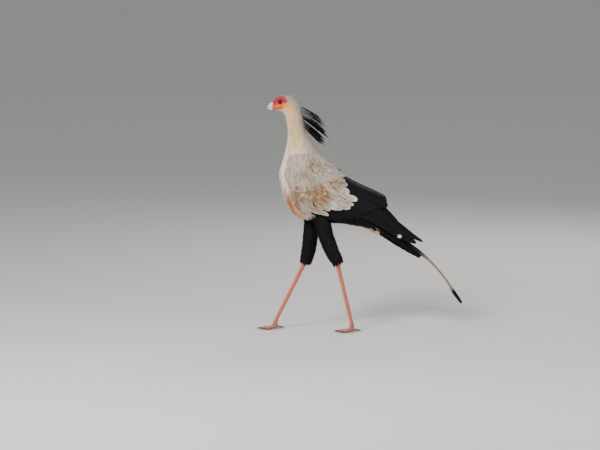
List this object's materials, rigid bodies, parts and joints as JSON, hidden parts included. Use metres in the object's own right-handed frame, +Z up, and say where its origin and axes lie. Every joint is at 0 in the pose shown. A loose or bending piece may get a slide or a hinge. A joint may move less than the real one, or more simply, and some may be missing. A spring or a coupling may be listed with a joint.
{
  "type": "secretary bird",
  "caption": "Standing long-legged bird of prey in mid stride, with folded wings, drooping nape crest, feathered thighs and a long trailing tail.",
  "frame": {"origin": "on the floor, midway along the bird from the leading foot to the tail tip, and midway across it", "axes": "+Z up, -X the way the bill points, +Y towards the bird's right side"},
  "size_m": [0.9978, 0.2272, 1.1438],
  "materials": {
    "pale_feathers": "matt, soft",
    "black_feathers": "matt with a faint sheen",
    "leg_scales": "smooth scales, slightly waxy",
    "horn": "satin",
    "eye": "wet gloss"
  },
  "bodies": {
    "root": {"head": "pale_feathers", "bill_upper": "horn", "bill_lower": "horn", "eye_left": "eye", "eye_right": "eye", "neck": "pale_feathers", "torso": "pale_feathers", "wing_left": "black_feathers", "wing_right": "black_feathers", "tail": "black_feathers", "thigh_left": "black_feathers", "thigh_right": "black_feathers", "shank_left": "leg_scales", "shank_right": "leg_scales", "foot_left": "leg_scales", "foot_right": "leg_scales", "claw_left_middle": "horn", "claw_left_inner": "horn", "claw_left_outer": "horn", "claw_left_hind": "horn", "claw_right_middle": "horn", "claw_right_inner": "horn", "claw_right_outer": "horn", "claw_right_hind": "horn"}
  },
  "joints": []
}
